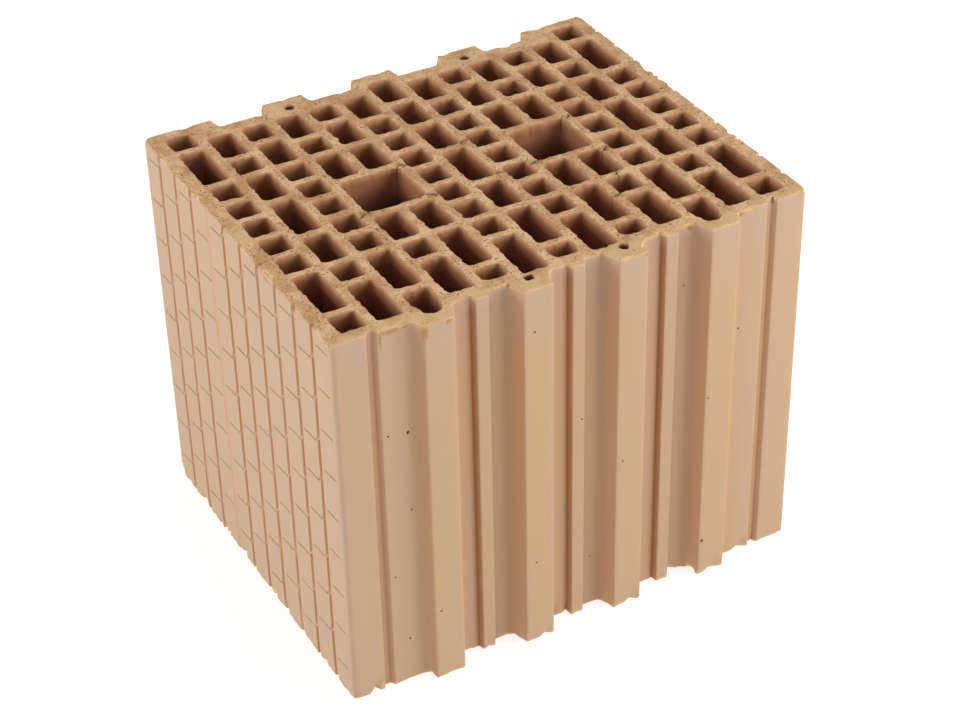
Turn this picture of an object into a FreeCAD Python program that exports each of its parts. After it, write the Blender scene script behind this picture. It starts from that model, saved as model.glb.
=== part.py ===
import FreeCAD, Part
import math
import os

# Hollow clay block, fired as one piece: one section extruded along the height.
# Plan axes: x runs across the wall from the left plaster face, y runs along the wall
# from the plane of the front head face, and z is the height. All sizes are in mm.

# Overall block
wall_thickness = 300.0
body_length = 248.0
block_height = 249.0
arris_radius = 3.0

# Shells and webs of the cell grid, which has a centre column and like columns each side
columns_each_side = 6
plaster_shell = 10.1
head_shell = 8.45
back_shell = 10.5
column_web = 6.2
row_web = 5.4
cell_corner_cut = 1.0

# Rows of cells from the front to the back: a front zone, a middle zone and a back zone
front_rows = 3
middle_rows = 5
back_rows = 3

# Hand holes, each as wide as two columns and the web between them
hand_hole_length = 36.2
hand_hole_corner_radius = 3.0

# Cells that end in a nose: rounded under the recesses, tapered inside the outer tongues
nose_radius = 4.0
tapered_nose_width = 9.0
tapered_nose_run = 12.0
tapered_nose_inset = 2.0

# Tongues of the front head face
tongue_count = 4
tongue_pitch = 60.0
tongue_height = 7.8
tongue_top_width = 18.6
tongue_flank_run = 3.7
tongue_foot_radius = 4.0
tongue_tip_radius = 1.2

# Recess between two tongues, with a narrow rib along its middle
recess_depth = 3.8
rib_top_width = 8.2
rib_flank_run = 1.4
rib_radius = 0.8

# Narrow groove near each corner of the front head face
corner_groove_inset = 23.8
corner_groove_width = 6.5
corner_groove_floor = 3.0
corner_groove_depth = 2.5
corner_groove_radius = 0.6

# Grooves of the back head face, which take the next block's tongues
tongue_side_clearance = 3.2
tongue_end_clearance = 2.2
groove_flank_run = 1.4
groove_radius = 1.6

# Key grooves of the two plaster faces
key_groove_count = 10
key_groove_pitch = 22.4
key_groove_width = 3.2
key_groove_floor = 1.0
key_groove_depth = 2.0
worn_groove_depth = 0.5
worn_groove_place = 6

# Small round holes, in the two inner front tongues and the two outer back tongues
vent_diameter = 6.2
vent_inset = 11.3

# Most of a side that the arc at one of its corners may take up
arc_share_of_side = 0.49

# Sizes that follow from the values above
column_count = 2 * columns_each_side + 1
row_count = front_rows + middle_rows + back_rows
cell_width = (wall_thickness - 2 * plaster_shell - (column_count - 1) * column_web) / column_count
cell_length = (body_length - 2 * head_shell - (row_count - 1) * row_web) / row_count
column_pitch = cell_width + column_web
middle_x = wall_thickness / 2
tongue_base_width = tongue_top_width + 2 * tongue_flank_run
groove_width = tongue_base_width + 2 * tongue_side_clearance
groove_depth = tongue_height + tongue_end_clearance


def tongue_centres():
    """Places of the front tongues and of the back grooves, from left to right."""
    first = middle_x - (tongue_count - 1) * tongue_pitch / 2
    return [first + place * tongue_pitch for place in range(tongue_count)]


def recess_centres():
    """Places midway between neighbouring tongues, where the ribs are."""
    return [centre + tongue_pitch / 2 for centre in tongue_centres()[:-1]]


def rounded_wire(corners):
    """Closed wire through (x, y, radius) corners, rounded by tangent arcs or sharp at radius 0.

    A radius that its two sides have no room for is limited to what they can take.
    """
    points = [FreeCAD.Vector(x, y, 0) for x, y, radius in corners]
    count = len(points)
    arcs = []
    for place, (x, y, radius) in enumerate(corners):
        to_last = points[place - 1] - points[place]
        to_next = points[(place + 1) % count] - points[place]
        room = arc_share_of_side * min(to_last.Length, to_next.Length)
        half_angle = to_last.getAngle(to_next) / 2
        setback = min(radius / math.tan(half_angle), room)
        to_last.normalize()
        to_next.normalize()
        bisector = (to_last + to_next).normalize()
        sagitta = setback / math.cos(half_angle) - setback * math.tan(half_angle)
        start = points[place] + to_last * setback
        end = points[place] + to_next * setback
        arcs.append((start, points[place] + bisector * sagitta, end))
    edges = []
    for place, (start, middle, end) in enumerate(arcs):
        if corners[place][2] > 0:
            edges.append(Part.Arc(start, middle, end).toShape())
        edges.append(Part.LineSegment(end, arcs[(place + 1) % count][0]).toShape())
    return Part.Wire(edges)


def cell_end(left, right, end, other_end, nose=0):
    """Corners of one end of a cell from left to right: cut at 45 degrees, or a rounded nose."""
    if nose > 0:
        return [(left, end, nose), (right, end, nose)]
    inward = math.copysign(cell_corner_cut, other_end - end)
    return [
        (left, end + inward, 0),
        (left + cell_corner_cut, end, 0),
        (right - cell_corner_cut, end, 0),
        (right, end + inward, 0),
    ]


def cell(centre, near, far, near_nose=0, far_nose=0):
    """Straight cell one column wide, between two places along the wall."""
    left = centre - cell_width / 2
    right = centre + cell_width / 2
    near_end = cell_end(left, right, near, far, near_nose)
    far_end = cell_end(left, right, far, near, far_nose)
    return rounded_wire(near_end + far_end[::-1])


def tapered_nose_in_column(centre):
    """Middle of the tapered nose that a column's front cell ends in, or None where it has none.

    The noses lie inside the two outer tongues, a little towards the middle of the block.
    """
    tongues = tongue_centres()
    for nose in (tongues[0] + tapered_nose_inset, tongues[-1] - tapered_nose_inset):
        if -column_pitch / 2 <= nose - centre < column_pitch / 2:
            return nose
    return None


def tapered_cell(centre, nose, tip, far):
    """Cell whose front end narrows to a nose inside a tongue."""
    left = centre - cell_width / 2
    right = centre + cell_width / 2
    shoulder = tip + tapered_nose_run
    corners = [
        (left, shoulder, nose_radius),
        (nose - tapered_nose_width / 2, tip, nose_radius),
        (nose + tapered_nose_width / 2, tip, nose_radius),
        (right, shoulder, nose_radius),
    ]
    return rounded_wire(corners + cell_end(left, right, far, tip)[::-1])


def row_start(row):
    return head_shell + row * (cell_length + row_web)


def row_end(row):
    return row_start(row) + cell_length


def under_recess(centre):
    """Whether a column's middle lies behind a recess of the front head face."""
    half_recess = (tongue_pitch - tongue_base_width) / 2
    return any(abs(centre - recess) < half_recess for recess in recess_centres())


def front_cells(centre, steps_out):
    """Front zone: one short and one long cell, in turns from column to column."""
    last = front_rows - 1
    front = head_shell
    nose = 0
    if under_recess(centre):
        front = head_shell + recess_depth
        nose = nose_radius
    tapered_nose = tapered_nose_in_column(centre)
    if tapered_nose is not None:
        return [
            tapered_cell(centre, tapered_nose, head_shell - tongue_height, row_end(0)),
            cell(centre, row_start(1), row_end(last)),
        ]
    if steps_out % 2 == 1:
        return [
            cell(centre, front, row_end(last - 1)),
            cell(centre, row_start(last), row_end(last)),
        ]
    return [
        cell(centre, front, row_end(0), near_nose=nose),
        cell(centre, row_start(1), row_end(last)),
    ]


def middle_cells(centre, steps_out):
    """Middle zone: single cells, or two long ones each side of a third or of a hand hole."""
    first = front_rows
    last = front_rows + middle_rows - 1
    if steps_out in (1, 4, 6):
        return [cell(centre, row_start(row), row_end(row)) for row in range(first, last + 1)]
    middle_y = (row_start(first) + row_end(last)) / 2
    near = middle_y - hand_hole_length / 2
    far = middle_y + hand_hole_length / 2
    wires = [
        cell(centre, row_start(first), near - row_web),
        cell(centre, far + row_web, row_end(last)),
    ]
    if steps_out not in (2, 3):
        wires.append(cell(centre, near, far))
    return wires


def back_cells(centre, steps_out):
    """Back zone: the edge columns run to the head shell, the others stop at the grooves."""
    first = front_rows + middle_rows
    last = row_count - 1
    groove_end = body_length - groove_depth - back_shell
    if steps_out == columns_each_side:
        return [
            cell(centre, row_start(first), row_end(last - 1)),
            cell(centre, row_start(last), row_end(last)),
        ]
    if steps_out % 2 == 1:
        return [
            cell(centre, row_start(first), row_end(first)),
            cell(centre, row_end(first) + row_web, groove_end),
        ]
    split = groove_end - cell_length
    end = groove_end
    nose = 0
    if steps_out == 0:
        end = body_length - back_shell
        nose = nose_radius
    return [
        cell(centre, row_start(first), split - row_web),
        cell(centre, split, end, far_nose=nose),
    ]


def hand_holes():
    """Two wide openings, each across the second and third column out from the middle."""
    middle_y = (row_start(front_rows) + row_end(front_rows + middle_rows - 1)) / 2
    near = middle_y - hand_hole_length / 2
    far = middle_y + hand_hole_length / 2
    wires = []
    for side in (-1, 1):
        inner = middle_x + side * (2 * column_pitch - cell_width / 2)
        outer = middle_x + side * (3 * column_pitch + cell_width / 2)
        left, right = sorted((inner, outer))
        wires.append(rounded_wire([
            (left, near, hand_hole_corner_radius),
            (right, near, hand_hole_corner_radius),
            (right, far, hand_hole_corner_radius),
            (left, far, hand_hole_corner_radius),
        ]))
    return wires


def vents():
    """Small round holes near the ends of two front tongues and two back tongues."""
    front_y = vent_inset - tongue_height
    back_y = body_length - vent_inset
    places = [(x, front_y) for x in tongue_centres()[1:-1]]
    places += [(x, back_y) for x in recess_centres()[::2]]
    up = FreeCAD.Vector(0, 0, 1)
    return [
        Part.Wire(Part.Circle(FreeCAD.Vector(x, y, 0), up, vent_diameter / 2).toShape())
        for x, y in places
    ]


def all_openings():
    wires = hand_holes() + vents()
    for column in range(column_count):
        steps_out = abs(column - columns_each_side)
        centre = middle_x + (column - columns_each_side) * column_pitch
        wires += front_cells(centre, steps_out)
        wires += middle_cells(centre, steps_out)
        wires += back_cells(centre, steps_out)
    return wires


def corner_groove(centre):
    half_mouth = corner_groove_width / 2
    half_floor = corner_groove_floor / 2
    return [
        (centre - half_mouth, 0, corner_groove_radius),
        (centre - half_floor, corner_groove_depth, corner_groove_radius),
        (centre + half_floor, corner_groove_depth, corner_groove_radius),
        (centre + half_mouth, 0, corner_groove_radius),
    ]


def front_profile():
    """Front head face from left to right: tongues, recesses with ribs, corner grooves."""
    centres = tongue_centres()
    half_top = tongue_top_width / 2
    half_base = tongue_base_width / 2
    half_rib = rib_top_width / 2
    corners = corner_groove(corner_groove_inset)
    for place, centre in enumerate(centres):
        left_foot = recess_depth
        right_foot = recess_depth
        if place == 0:
            left_foot = 0
        if place == tongue_count - 1:
            right_foot = 0
        corners += [
            (centre - half_base, left_foot, tongue_foot_radius),
            (centre - half_top, -tongue_height, tongue_tip_radius),
            (centre + half_top, -tongue_height, tongue_tip_radius),
            (centre + half_base, right_foot, tongue_foot_radius),
        ]
        if place < tongue_count - 1:
            rib = centre + tongue_pitch / 2
            corners += [
                (rib - half_rib - rib_flank_run, recess_depth, rib_radius),
                (rib - half_rib, 0, rib_radius),
                (rib + half_rib, 0, rib_radius),
                (rib + half_rib + rib_flank_run, recess_depth, rib_radius),
            ]
    return corners + corner_groove(wall_thickness - corner_groove_inset)


def back_profile():
    """Back head face from right to left: a groove opposite each front tongue."""
    floor = body_length - groove_depth
    half_mouth = groove_width / 2
    half_floor = half_mouth - groove_flank_run
    corners = []
    for centre in reversed(tongue_centres()):
        corners += [
            (centre + half_mouth, body_length, groove_radius),
            (centre + half_floor, floor, groove_radius),
            (centre - half_floor, floor, groove_radius),
            (centre - half_mouth, body_length, groove_radius),
        ]
    return corners


def plaster_profile(face_x, inward, worn_place=None):
    """Key grooves of one plaster face from front to back, cut inward along x."""
    first = body_length / 2 - (key_groove_count - 1) * key_groove_pitch / 2
    corners = []
    for place in range(key_groove_count):
        centre = first + place * key_groove_pitch
        depth = worn_groove_depth if place == worn_place else key_groove_depth
        floor_x = face_x + inward * depth
        corners += [
            (face_x, centre - key_groove_width / 2, 0),
            (floor_x, centre - key_groove_floor / 2, 0),
            (floor_x, centre + key_groove_floor / 2, 0),
            (face_x, centre + key_groove_width / 2, 0),
        ]
    return corners


def block_outline():
    corners = [(0, 0, arris_radius)]
    corners += front_profile()
    corners += [(wall_thickness, 0, arris_radius)]
    corners += plaster_profile(wall_thickness, -1)
    corners += [(wall_thickness, body_length, arris_radius)]
    corners += back_profile()
    corners += [(0, body_length, arris_radius)]
    corners += reversed(plaster_profile(0, 1, worn_groove_place))
    return rounded_wire(corners)


def clay_block():
    """The section's face extruded to the block's height, centred over the origin."""
    section = Part.makeFace([block_outline()] + all_openings(), "Part::FaceMakerBullseye")
    block = section.extrude(FreeCAD.Vector(0, 0, block_height))
    block.translate(FreeCAD.Vector(-middle_x, (tongue_height - body_length) / 2, 0))
    return block


os.makedirs("parts", exist_ok=True)
block = clay_block()
block.exportStep("parts/clay_block.step")
print("solids", len(block.Solids), "valid", block.isValid())
print("cell", round(cell_width, 2), "x", round(cell_length, 2))
print("volume in litres", round(block.Volume / 1e6, 3))
print("box", block.BoundBox)
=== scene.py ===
import math

import bpy
import numpy as np
from mathutils import Matrix, Vector
from mathutils.geometry import delaunay_2d_cdt


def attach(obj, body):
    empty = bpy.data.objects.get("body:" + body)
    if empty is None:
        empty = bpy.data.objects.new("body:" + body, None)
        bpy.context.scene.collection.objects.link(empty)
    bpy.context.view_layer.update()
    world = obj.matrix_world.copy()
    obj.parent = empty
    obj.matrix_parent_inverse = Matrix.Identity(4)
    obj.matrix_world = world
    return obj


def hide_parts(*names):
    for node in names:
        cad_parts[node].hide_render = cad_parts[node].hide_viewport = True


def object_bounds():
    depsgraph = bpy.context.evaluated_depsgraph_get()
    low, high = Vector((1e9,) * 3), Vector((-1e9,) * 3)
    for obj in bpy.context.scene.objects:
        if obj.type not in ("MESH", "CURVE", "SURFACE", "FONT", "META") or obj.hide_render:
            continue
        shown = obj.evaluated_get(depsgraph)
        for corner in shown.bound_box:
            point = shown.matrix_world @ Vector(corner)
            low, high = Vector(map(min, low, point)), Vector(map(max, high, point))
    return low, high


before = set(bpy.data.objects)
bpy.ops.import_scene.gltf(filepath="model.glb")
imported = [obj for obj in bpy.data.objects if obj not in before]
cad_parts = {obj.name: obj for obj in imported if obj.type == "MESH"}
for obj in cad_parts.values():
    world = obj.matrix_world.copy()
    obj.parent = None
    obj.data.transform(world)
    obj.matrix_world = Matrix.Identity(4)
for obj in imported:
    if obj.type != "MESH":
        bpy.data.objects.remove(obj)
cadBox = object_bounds()

# The block's skin is worked out in millimetres in the CAD frame and turned to metres at the end
mm = 0.001
hair = 0.01                   # lengths in millimetres below this count as nothing
lowCorner, highCorner = [np.array(corner) / mm for corner in cadBox]
bedHeight = highCorner[2]
rng = np.random.default_rng(652)
print("frame loaded, block", (highCorner - lowCorner).round(2), "mm")


# Section of the block, read from the CAD bed face: an edge that only one of its triangles uses is on
# a rim. Each rim point knows the next one, and jumping twice as far each round gives every point the
# lowest number in its loop and the steps to it, which sort the points into walks round the loops.
# Clay lies on the left of each walk, and the outline's walk starts with its longest side.
def readSection(node):
    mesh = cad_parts[node].data
    corner = np.empty(len(mesh.vertices) * 3, dtype=np.float32)
    mesh.vertices.foreach_get("co", corner)
    corner = np.round(corner.reshape(-1, 3).astype(float) / mm, 3)        # to a micrometre
    triangle = np.empty(len(mesh.loops), dtype=np.int32)
    mesh.loops.foreach_get("vertex_index", triangle)
    triangle = triangle.reshape(-1, 3)
    onBed = corner[triangle, 2].min(axis=1) > corner[:, 2].max() - hair
    place, triangle = np.unique(corner[triangle[onBed].ravel(), :2], axis=0, return_inverse=True)
    triangle = triangle.reshape(-1, 3)
    start = triangle.ravel()
    end = np.roll(triangle, -1, axis=1).ravel()
    count = len(place)
    onRim = ~np.isin(start * count + end, end * count + start)
    number = np.arange(count)
    following = number.copy()
    following[start[onRim]] = end[onRim]
    rounds = range(int(math.log2(count)) + 1)
    lowest, jump = number, following
    for _ in rounds:
        lowest, jump = np.minimum(lowest, lowest[jump]), jump[jump]
    jump = np.where(lowest == number, number, following)
    steps = np.where(lowest == number, 0, 1)
    for _ in rounds:
        steps, jump = steps + steps[jump], jump[jump]
    order = np.lexsort((-steps, lowest))
    loops = np.split(place[order], np.flatnonzero(np.diff(lowest[order])) + 1)
    loops.sort(key=lambda loop: -np.ptp(loop, axis=0).sum())
    side = np.roll(loops[0], -1, axis=0) - loops[0]
    longest = np.hypot(side[:, 0], side[:, 1]).argmax()
    return np.roll(loops[0], -longest, axis=0), loops[1:]


outline, cellLoops = readSection("clay_block")
print("section read,", len(cellLoops), "openings and an outline of", len(outline), "points")


# Walk round a closed loop with a stop at each whole step of a measure that grows with the length
# walked and with the angle turned, so that a straight stretch and a tight arc both get their share.
# A stop close to one of the loop's own points moves onto it.
def walkRound(loop, lengthStep, turnStep, snap):
    side = np.roll(loop, -1, axis=0) - loop
    length = np.hypot(side[:, 0], side[:, 1])
    heading = np.arctan2(side[:, 1], side[:, 0])
    turn = np.abs((heading - np.roll(heading, 1) + math.pi) % (2 * math.pi) - math.pi)
    growth = np.column_stack([turn / turnStep, length / lengthStep]).ravel()
    measure = np.concatenate([[0], np.cumsum(growth)])
    walked = np.concatenate([[0], np.cumsum(np.column_stack([0 * length, length]).ravel())])
    stop = np.linspace(0, measure[-1], int(round(measure[-1])), endpoint=False)
    stop = np.interp(stop, measure, walked)
    corner = np.concatenate([[0], np.cumsum(length)])
    after = np.clip(np.searchsorted(corner, stop), 1, len(length))
    before, beyond = corner[after - 1], corner[after]
    nearest = np.where(stop - before < beyond - stop, before, beyond)
    stop = np.where(np.abs(nearest - stop) < snap, nearest, stop)
    stop = stop[stop < corner[-1] - max(snap, 2 * hair)]
    stop = np.unique(np.round(stop, 4))        # to a tenth of a micrometre
    closed = np.vstack([loop, loop[:1]])
    return np.column_stack([np.interp(stop, corner, closed[:, axis]) for axis in (0, 1)])


# Neighbours on closed loops that are laid end to end: the number after and the number before each
# point, with a loop's last point before its first
def loopNeighbours(sizes):
    ends = np.cumsum(sizes)
    following = np.arange(ends[-1]) + 1
    following[ends - 1] = ends - sizes
    foregoing = np.empty_like(following)
    foregoing[following] = np.arange(ends[-1])
    return following, foregoing


# Direction out of the clay: the sum of the two sides' right-hand normals, at unit length
def outOfClay(point, following, foregoing):
    side = point[following] - point
    side /= np.linalg.norm(side, axis=1)[:, None]
    normal = np.column_stack([side[:, 1], -side[:, 0]])
    normal = normal + normal[foregoing]
    return normal / np.linalg.norm(normal, axis=1)[:, None]


# Random heights along loops, averaged with their neighbours again and again and brought back to unit
# spread: the more rounds, the longer the waves
def rimWaves(following, foregoing, rounds):
    wave = rng.standard_normal(len(following))
    for _ in range(rounds):
        wave = (wave[foregoing] + 2 * wave + wave[following]) / 4
    return wave / wave.std()


# Share of the way from low to high, eased: three times its square less twice its cube
def smoothStep(low, high, value):
    share = np.clip((value - low) / (high - low), 0, 1)
    return share * share * (3 - 2 * share)


# Skin between rings: ring by ring the loops' points are joined by two triangles for each step
def ringTriangles(rings, following):
    count = len(following)
    here = np.arange(count)
    upper = np.arange(rings - 1)[:, None] * count
    lower = upper + count
    first = np.stack([lower + here, lower + following, upper + following], axis=-1)
    second = np.stack([lower + here, upper + following, upper + here], axis=-1)
    return np.concatenate([first.reshape(-1, 3), second.reshape(-1, 3)])


# Hairline cracks in the webs, each a short path in plan from one opening to the next
cracks = {
    "paths": [  # half the width, and the path
        (0.4, [(-37, 21), (-34.5, 22.5), (-29.5, 21.5)]),
        (0.45, [(-37, -13.5), (-34, -15), (-29.5, -16.5)]),
        (0.4, [(-73, -13.5), (-77, -15), (-80.5, -17)]),
        (0.4, [(7.2, 28), (10.5, 27.2), (14.5, 28.2)]),
        (0.6, [(73, 21), (76, 20), (80.5, 22)]),
        (0.75, [(37, -13.5), (33, -14.6), (29.5, -16.3)]),
        (0.4, [(67.5, -46.8), (67.2, -50), (67, -53.2)]),
        (0.45, [(73.4, -23.5), (77, -22), (80.5, -21)]),
        (0.4, [(51.5, -70.6), (55, -70), (58.6, -68.2)]),
        (0.4, [(7.2, -13.4), (10.5, -14), (14.5, -14.6)]),
    ],
    "step": 0.6,
    "sway": 0.12,
    "depth": 2.0,
    "edgeShade": 0.55,
    "clearance": 0.5,
    "mouth": 0.45,            # half the width of the notch where a crack meets a cell wall
    "mouthDepth": [0.9, 0.8, 0.6, 0.3],
    "mouthShade": [1, 0.9, 0.7, 0.25],
}


# Cells and small round holes: each loop's wall is its outline carried down the block, bevelled and
# ragged at both beds where the wire cut it, and a little wavy between
cellWalls = {
    "step": 1.05,
    "turnStep": 99.0,         # radians, so that only the length counts
    "snap": 0.0,
    "cornerRounding": 2,
    "ragged": [(0.3, 1), (0.16, 12)],        # size of each wave, and its rounds of averaging
    "chip": (0.7, 2),
    "chipFrom": 1.4,          # a wave higher than this is a chip
    "chipMost": 1.2,
    "wallWave": (0.2, 16),
    "bevelWave": (0.5, 2),
    "ventSize": 24,           # points on the largest loop that still counts as a small round hole
    "ventRagged": 1.2,
    "ventBevel": 0.4,
    "ventShade": 0.6,
    "ventShadeFrom": 2,       # ring where a small hole's shade starts
    "depth": [0, 0.35, 1.2, 12, bedHeight - 1.5, bedHeight],        # of the rings below the top bed
    "shift": [-0.6, -0.1, 0, 0, 0, -0.9],
    "upperShare": [0.7, 1, 0.7, 0.1, 0, 0],
    "lowerShare": [0, 0, 0, 0, 0.8, 0.6],
    "waveShare": [0, 0, 0.3, 1, 0.5, 0],
}


# Ring by ring, a wall point is its loop's point moved along the normal by the ring's own shift, plus
# shares of the upper and lower ragged rims and of the wall's waves, less the notch at a crack's mouth
def makeCellWalls():
    walk = [cellWalls[key] for key in ("step", "turnStep", "snap")]
    loops = [walkRound(loop, *walk) for loop in cellLoops]
    sizes = np.array([len(loop) for loop in loops])
    point = np.vstack(loops)
    following, foregoing = loopNeighbours(sizes)
    for _ in range(cellWalls["cornerRounding"]):
        point = (point[foregoing] + 2 * point + point[following]) / 4
    crackEnd = np.array([end for _, path in cracks["paths"] for end in (path[0], path[-1])], dtype=float)
    mouth = np.linalg.norm(crackEnd[:, None] - point, axis=2).argmin(axis=1)
    for beside in (following[mouth], foregoing[mouth]):
        toward = point[beside] - point[mouth]
        share = cracks["mouth"] / np.linalg.norm(toward, axis=1)[:, None]
        point[beside] = point[mouth] + toward * share
    normal = outOfClay(point, following, foregoing)
    onVent = np.repeat(sizes, sizes) <= cellWalls["ventSize"]
    ragged = []
    for _ in ("upper", "lower"):
        rim = sum(size * rimWaves(following, foregoing, rounds) for size, rounds in cellWalls["ragged"])
        chipSize, chipRounds = cellWalls["chip"]
        chip = rimWaves(following, foregoing, chipRounds) - cellWalls["chipFrom"]
        rim -= chipSize * np.clip(chip, 0, cellWalls["chipMost"])
        ragged.append(rim * np.where(onVent, cellWalls["ventRagged"], 1))
    waveSize, waveRounds = cellWalls["wallWave"]
    wave = waveSize * rimWaves(following, foregoing, waveRounds)
    column = {key: np.array(cellWalls[key], dtype=float)[:, None] for key in
              ("depth", "shift", "upperShare", "lowerShare", "waveShare")}
    shift = column["shift"] * np.where(onVent, cellWalls["ventBevel"], 1)
    shift = shift + column["upperShare"] * ragged[0]
    shift = shift + column["lowerShare"] * ragged[1] + column["waveShare"] * wave
    notched = len(cracks["mouthDepth"])
    shift[:notched, mouth] -= np.array(cracks["mouthDepth"])[:, None]
    # Painted shade in the small round holes below their bevel and in the notches at the cracks' mouths
    hollowShade = np.zeros(shift.shape)
    hollowShade[cellWalls["ventShadeFrom"]:-1, onVent] = cellWalls["ventShade"]
    hollowShade[:notched, mouth] = np.array(cracks["mouthShade"])[:, None]
    place = point[None] + normal[None] * shift[:, :, None]
    depth = column["depth"] + 0 * shift
    bevelSize, bevelRounds = cellWalls["bevelWave"]
    bevelFoot = 1
    depth[bevelFoot] *= 1 + bevelSize * np.abs(rimWaves(following, foregoing, bevelRounds))
    skin = np.concatenate([place, (bedHeight - depth)[:, :, None]], axis=2)
    return skin, sizes, ringTriangles(len(skin), following), normal, hollowShade


cellSkin, cellSizes, cellTriangles, cellNormal, cellHollowShade = makeCellWalls()
print("cell walls", cellSkin.shape, len(cellTriangles), "triangles")


# Outer faces: the outline carried down the block, chipped along both arrises. Rows of score cuts cross
# the plaster faces in every second strip between the key grooves, each cut rising a little towards the
# front and ending in a small burr that closes the groove, as the scoring wheel left it.
outerFaces = {
    "headStep": 2.4,
    "plasterStep": 1.9,
    "turnStep": math.radians(25),
    "snap": 0.35,
    "arcRoom": 0.6,           # how far a convex arc may shrink, as a share of its radius
    "topDepth": [0, 0.35, 1.2, 2.8],
    "topShift": [-0.42, -0.12, 0, 0],
    "footDepth": [-9.0, -1.3, -0.4, 0],
    "footShift": [0, 0, -0.15, -0.42],
    "arrisWaves": [(0.14, 1), (0.2, 6)],     # size of each wave, and its rounds of averaging
    "chipRounds": 2,
    "chipFrom": 0.5,          # a wave higher than this is a chip
    "chipMost": 1.8,
    "chipSize": [1.2, 1.0, 0.4],        # how far a chip bites into the three rings next to the bed
    "chipDrop": [0.4, 1.2, 0.6],        # and how far it runs down the three rings after the first
    "footWear": 1.7,          # how much rougher the lower arris is than the upper one
    "faceInset": 0.2,         # keeps burrs and waves inside the block's box
    "plasterDepth": 2.5,      # how far in from the block's sides the plaster faces and key grooves reach
    # Painted shade: shares of the dark hollow tone on the ring below the bed, in grooves and on the
    # ribs' flanks, and of the warm tone in grooves, recesses, key grooves and on flanks turned sideways
    "arrisShade": 0.14,
    "grooveShade": (2.5, 0.3, 1.0, 0.6),     # reach, depths where the shade starts and ends, its share
    "grooveWarmShade": (2.5, 0.2, 0.8, 0.8),
    "recessWarmShade": (14.0, 0.3, 5.0, 0.25),
    "flankWarmShade": 0.28,
    "ribPitch": 60.0,
    "ribZone": (6.2, 75.0, 8.05, 12.0),      # half a rib's foot, last rib's end, depths of its flank
    "ribTurn": 0.3,           # least sideways share of a flank's normal
    "ribShade": 0.32,
    "ribWarmShade": 0.7,
    "plasterWarmShade": (0.1, 0.9),               # depths where a key groove's tint starts and ends
    "arrisClear": (0.5, 5.0),                # depths between which the tints start below the arris
    "burrClear": 0.2,                        # share of tint left on a burr
}
scoreCuts = {
    "firstDepth": 9.6,
    "rowStep": 13.75,
    "rows": 17,
    "levels": [-0.7, 0, 0.7],
    "depth": 1.0,
    "shade": 0.4,
    "start": 3.2,
    "cornerEnd": (17.0, 19.5),          # where a cut beside the front corner fades, from its groove
    "startFade": 2.5,
    "strength": (0.6, 1.0),
    "drop": 0.5,                        # how far a row may wander up or down
    "rise": 0.08,
    "burrLevels": [4.5, 3.3, 2.2],      # height above the row of the burr's top, middle and foot
    "burrFill": (0.3, 0.9),
    "groovePitch": 22.4,
    "grooves": 10,
    "grooveHalfWidth": 1.6,
    "grooveEdge": 0.1,
    "grooveReach": 2.3,                 # how far in from the block's sides the cuts and grooves lie
    "tongueHeight": 7.8,                # the grooves are centred on the block behind its tongues
}
facePits = {
    "places": [  # along the front, below the top bed, radius
        (-121, 70, 0.8), (-107, 71.7, 1.25), (-107, 125, 0.8), (-121, 169, 0.7), (-97, 199, 0.9),
        (-112, 218, 0.9), (-32, 28, 0.8), (2, 105, 0.7), (26, 139, 0.7), (10, 212, 0.7), (-32, 190, 0.7),
        (71, 40, 0.8), (84, 116, 0.7), (84, 223, 1.4), (108, 80, 0.8),
    ],
    "sinking": 2.8,           # depth as a share of the radius
    "facing": 0.98,           # least forward share of the normal on the face that has them
}


# The outline walked in steps, finer on the plaster faces than on the head faces
def outlineColumns():
    onPlaster = np.abs(outline[:, 0]) > highCorner[0] - outerFaces["plasterDepth"]
    following = np.roll(np.arange(len(outline)), -1)
    step = np.where(onPlaster & onPlaster[following], outerFaces["plasterStep"], outerFaces["headStep"])
    return walkRound(outline, step, outerFaces["turnStep"], outerFaces["snap"])


# Room to shrink at each outline point: a share of the shift at which a side near it would vanish
def arcRoom(point, normal, following, foregoing):
    side = point[following] - point
    closing = ((normal[following] - normal) * side).sum(axis=1) / (side ** 2).sum(axis=1)
    room = outerFaces["arcRoom"] / np.maximum(closing, hair)
    room = np.minimum(room, room[foregoing])
    return np.minimum(np.minimum(room, room[following]), room[foregoing])


# Shade of each outline point that lies in a groove: it grows with the distance out to the mean of the
# points around it, weighted by a bell curve over the length walked
def grooveShade(point, normal, following, foregoing, values):
    reach, start, end, share = values
    length = np.linalg.norm(point[following] - point, axis=1)
    walked = np.cumsum(length) - length
    gap = np.abs(walked[:, None] - walked)
    gap = np.minimum(gap, length.sum() - gap)
    weight = np.exp(-(gap / reach) ** 2) * (length + length[foregoing])
    mean = weight @ point / weight.sum(axis=1)[:, None]
    return share * smoothStep(start, end, ((mean - point) * normal).sum(axis=1))


# Share of shade on the flanks of the narrow ribs, which lie near a multiple of their pitch and are
# turned away from the block's front: it grows with the depth from nothing at a rib's face to one at
# its foot
def ribFlanks(point, normal):
    reach, end, shallow, deep = outerFaces["ribZone"]
    half = outerFaces["ribPitch"] / 2
    near = np.abs((point[:, 0] + half) % (2 * half) - half) < reach
    behind = point[:, 1] - lowCorner[1]
    between = (behind > shallow) & (behind < deep) & (np.abs(point[:, 0]) < end)
    onFlank = near & between & (np.abs(normal[:, 0]) > outerFaces["ribTurn"])
    return onFlank * (behind - shallow) / (deep - shallow)


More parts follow.
